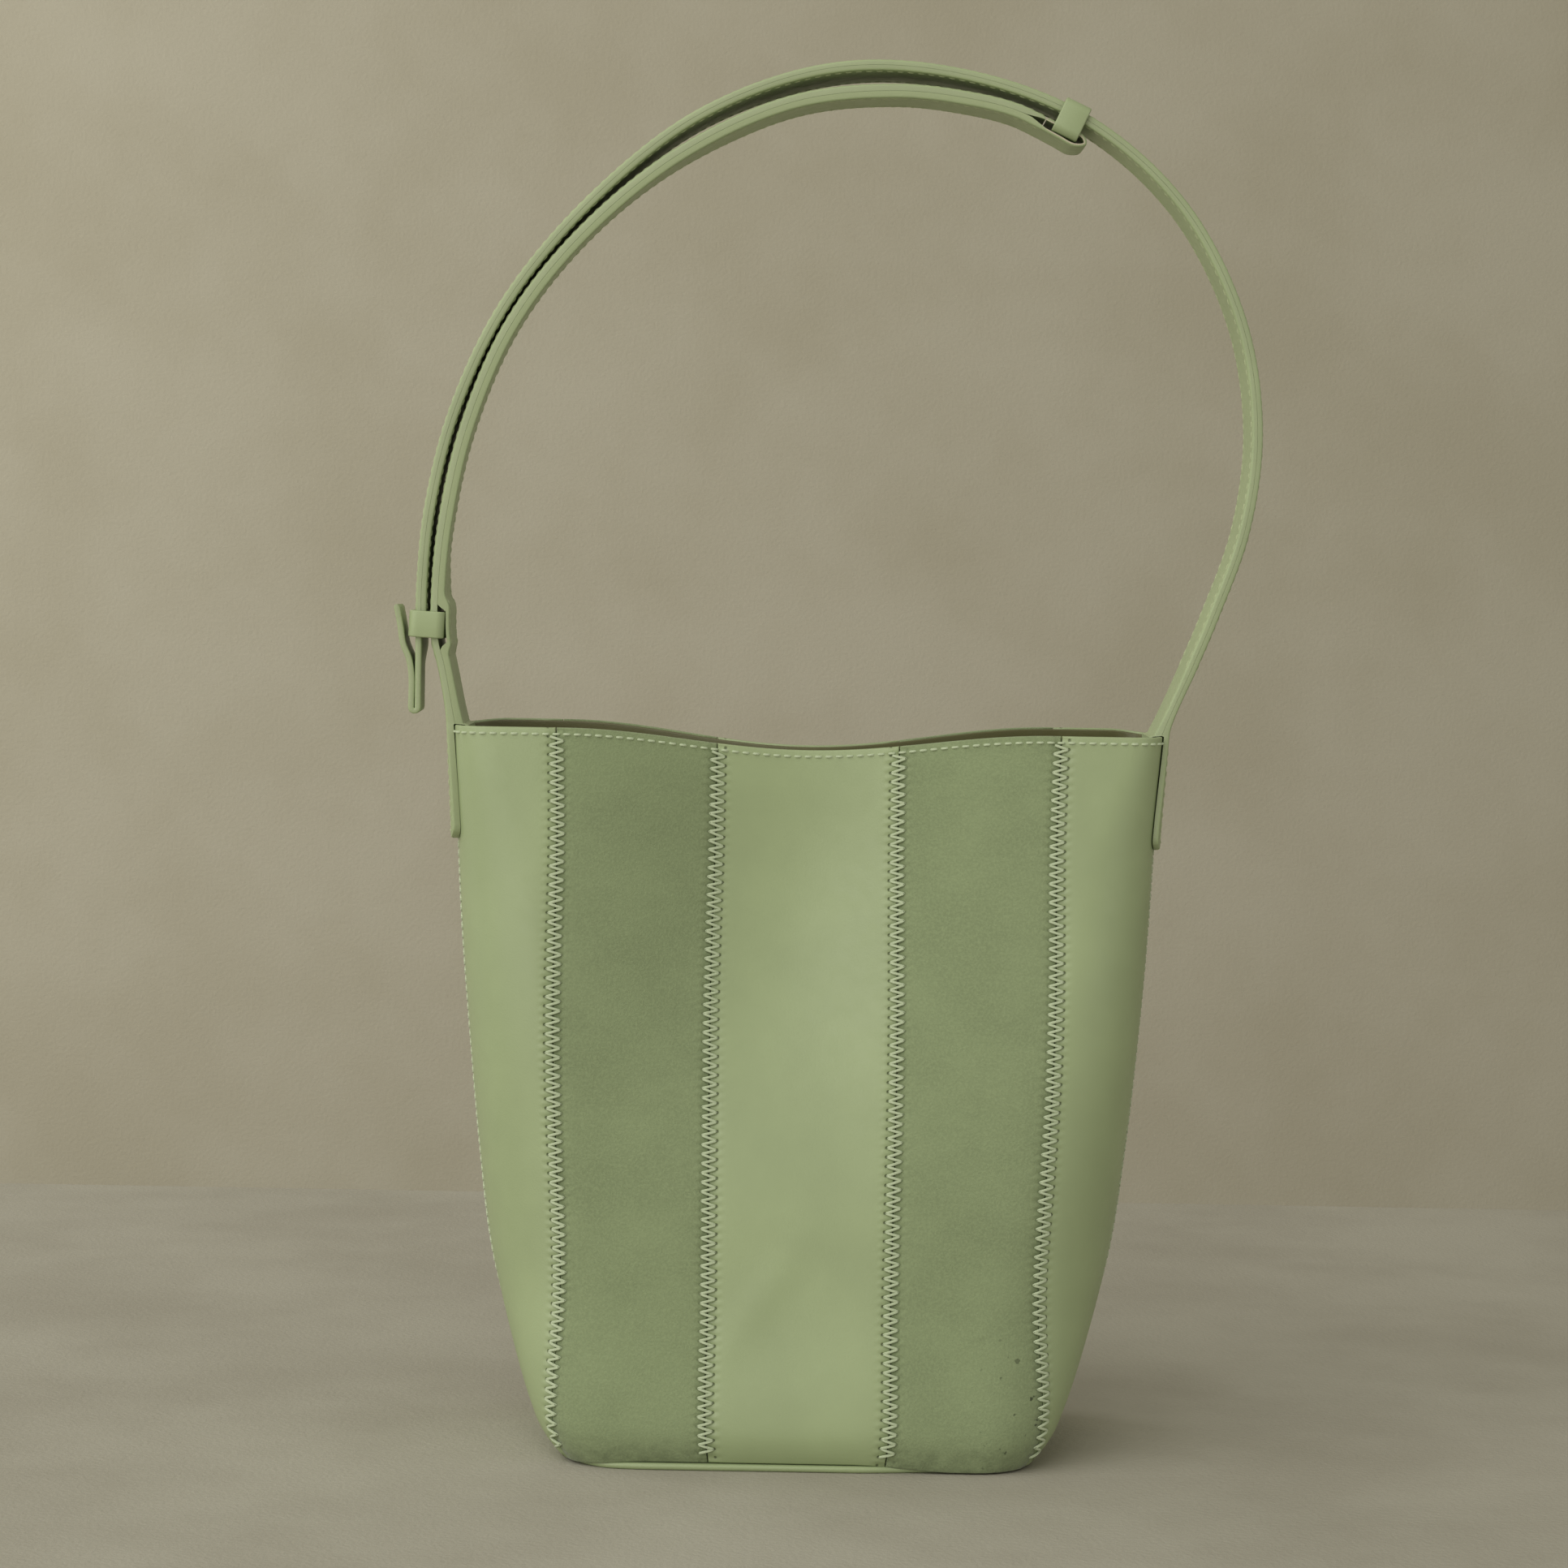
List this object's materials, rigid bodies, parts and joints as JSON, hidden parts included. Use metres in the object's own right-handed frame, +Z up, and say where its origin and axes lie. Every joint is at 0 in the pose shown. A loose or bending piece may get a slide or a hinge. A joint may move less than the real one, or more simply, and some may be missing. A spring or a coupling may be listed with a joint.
{
  "type": "bucket bag",
  "caption": "Open bucket bag of alternating smooth and suede leather stripes with zigzag seams, a pinched mouth and a two-part adjustable shoulder strap with two keeper loops.",
  "frame": {"origin": "centre of the underside of the base panel", "axes": "+Z up, -Y to the front, +X to the right seen from the front"},
  "size_m": [0.2637, 0.101, 0.4248],
  "materials": {
    "smooth_leather": "smooth satin",
    "suede": "napped suede",
    "strap_leather": "smooth satin",
    "lining_cloth": "matt twill",
    "stiffener_board": "matt",
    "strap_filler": "matt",
    "snap_metal": "polished"
  },
  "bodies": {
    "root": {"front_left_smooth_panel": "smooth_leather", "front_left_suede_panel": "suede", "front_centre_smooth_panel": "smooth_leather", "front_right_suede_panel": "suede", "front_right_smooth_panel": "smooth_leather", "back_right_smooth_panel": "smooth_leather", "back_right_suede_panel": "suede", "back_centre_smooth_panel": "smooth_leather", "back_left_suede_panel": "suede", "back_left_smooth_panel": "smooth_leather", "base_panel": "smooth_leather", "base_board": "stiffener_board", "lining_base": "lining_cloth", "lining_front": "lining_cloth", "lining_back": "lining_cloth", "rim_facing_front": "smooth_leather", "rim_facing_back": "smooth_leather", "snap_socket": "snap_metal", "snap_stud": "snap_metal", "left_tab_outer": "strap_leather", "left_tab_inner": "strap_leather", "right_tab_outer": "strap_leather", "right_tab_inner": "strap_leather"},
    "strap": {"long_strap_outer_ply": "strap_leather", "long_strap_inner_ply": "strap_leather", "short_strap_outer_ply": "strap_leather", "short_strap_filler": "strap_filler", "short_strap_inner_ply": "strap_leather"},
    "keeper_lower": {"keeper_lower": "strap_leather"},
    "keeper_upper": {"keeper_upper": "strap_leather"}
  },
  "joints": [
    {"name": "strap_swing", "type": "hinge", "parent": "root", "child": "strap", "pos_m": [0, 0, 0.23], "axis": [1, 0, 0], "range_deg": [-90, 90], "deforming": ["left_tab_outer", "left_tab_inner", "right_tab_outer", "right_tab_inner"]},
    {"name": "keeper_lower_slide", "type": "slide", "parent": "strap", "child": "keeper_lower", "axis": [0, 0, 1], "range_m": [-0.0015, 0.0005]},
    {"name": "keeper_upper_slide", "type": "slide", "parent": "strap", "child": "keeper_upper", "axis": [0.9063, 0, -0.4226], "range_m": [-0.002, 0.001]}
  ]
}
